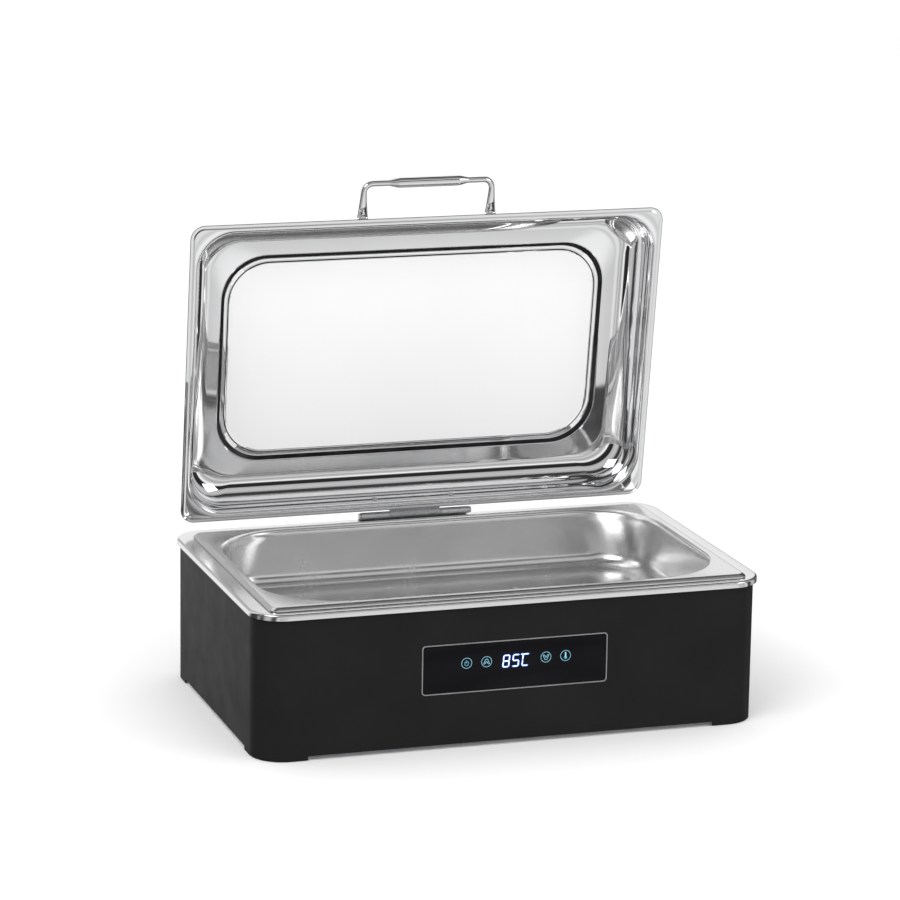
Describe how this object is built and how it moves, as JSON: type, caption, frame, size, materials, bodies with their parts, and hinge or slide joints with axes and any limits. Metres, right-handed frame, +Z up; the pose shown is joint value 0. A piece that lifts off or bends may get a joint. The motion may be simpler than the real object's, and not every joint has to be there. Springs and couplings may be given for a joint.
{
  "type": "electric buffet server",
  "caption": "Rectangular electric chafing dish: black sheet-metal housing with a touch panel, steel water bath and food pan, and a hinged steel lid standing open.",
  "frame": {"origin": "centre of the footprint of the whole object with the lid standing open, on the surface that the feet rest on", "axes": "+Z up, +X to the right as seen from the control panel side, +Y from the control panel towards the hinge"},
  "size_m": [0.566, 0.396, 0.5581],
  "materials": {
    "black_coat": "satin",
    "polished_steel": "polished",
    "brushed_steel": "satin",
    "zinc_steel": "matte",
    "panel_glass": "gloss",
    "bezel_metal": "satin",
    "circuit_board": "satin",
    "black_plastic": "matte",
    "light_plastic": "matte",
    "grey_cable": "matte",
    "transformer_tape": "satin",
    "mineral_wool": "matte",
    "black_rubber": "matte"
  },
  "bodies": {
    "base": {"base_plate": "zinc_steel", "board_carrier": "black_plastic", "board_support": "black_plastic", "clamp_nut_left": "zinc_steel", "clamp_nut_right": "zinc_steel", "control_cable": "grey_cable", "control_glass": "panel_glass", "display_module": "black_plastic", "food_pan": "polished_steel", "foot_front_left": "black_rubber", "foot_front_right": "black_rubber", "foot_rear_left": "black_rubber", "foot_rear_right": "black_rubber", "foot_screw_front_left": "zinc_steel", "foot_screw_front_right": "zinc_steel", "foot_screw_rear_left": "zinc_steel", "foot_screw_rear_right": "zinc_steel", "friction_washer_left": "zinc_steel", "friction_washer_right": "zinc_steel", "heat_shield": "zinc_steel", "heater_clamp_left": "zinc_steel", "heater_clamp_right": "zinc_steel", "heater_lead_left": "light_plastic", "heater_lead_right": "light_plastic", "heating_element": "brushed_steel", "hinge_base_bracket": "brushed_steel", "hinge_pin": "brushed_steel", "hinge_screw_lower_left": "zinc_steel", "hinge_screw_lower_right": "zinc_steel", "hinge_screw_upper_left": "zinc_steel", "hinge_screw_upper_right": "zinc_steel", "housing_shell": "black_coat", "inlet_screw_left": "zinc_steel", "inlet_screw_right": "zinc_steel", "insulation_mat": "mineral_wool", "mains_inlet": "black_plastic", "mains_lead": "black_plastic", "panel_bezel": "bezel_metal", "panel_gasket": "black_rubber", "power_board": "circuit_board", "relay": "black_plastic", "sensor_lead": "light_plastic", "shield_post_front_left": "zinc_steel", "shield_post_front_right": "zinc_steel", "shield_post_rear_left": "zinc_steel", "shield_post_rear_right": "zinc_steel", "temperature_probe": "brushed_steel", "terminal_block": "light_plastic", "thermal_cutout": "black_plastic", "touch_board": "circuit_board", "transformer": "transformer_tape", "water_bath": "polished_steel"},
    "lid": {"lid_shell": "polished_steel", "lid_handle": "polished_steel", "handle_rivet_left": "brushed_steel", "handle_rivet_right": "brushed_steel", "hinge_lid_bracket": "brushed_steel", "hinge_rivet_left": "brushed_steel", "hinge_rivet_right": "brushed_steel"}
  },
  "joints": [
    {"name": "lid_hinge", "type": "hinge", "parent": "base", "child": "lid", "pos_m": [0, 0.156, 0.165], "axis": [1, 0, 0], "range_deg": [0, 82]}
  ]
}
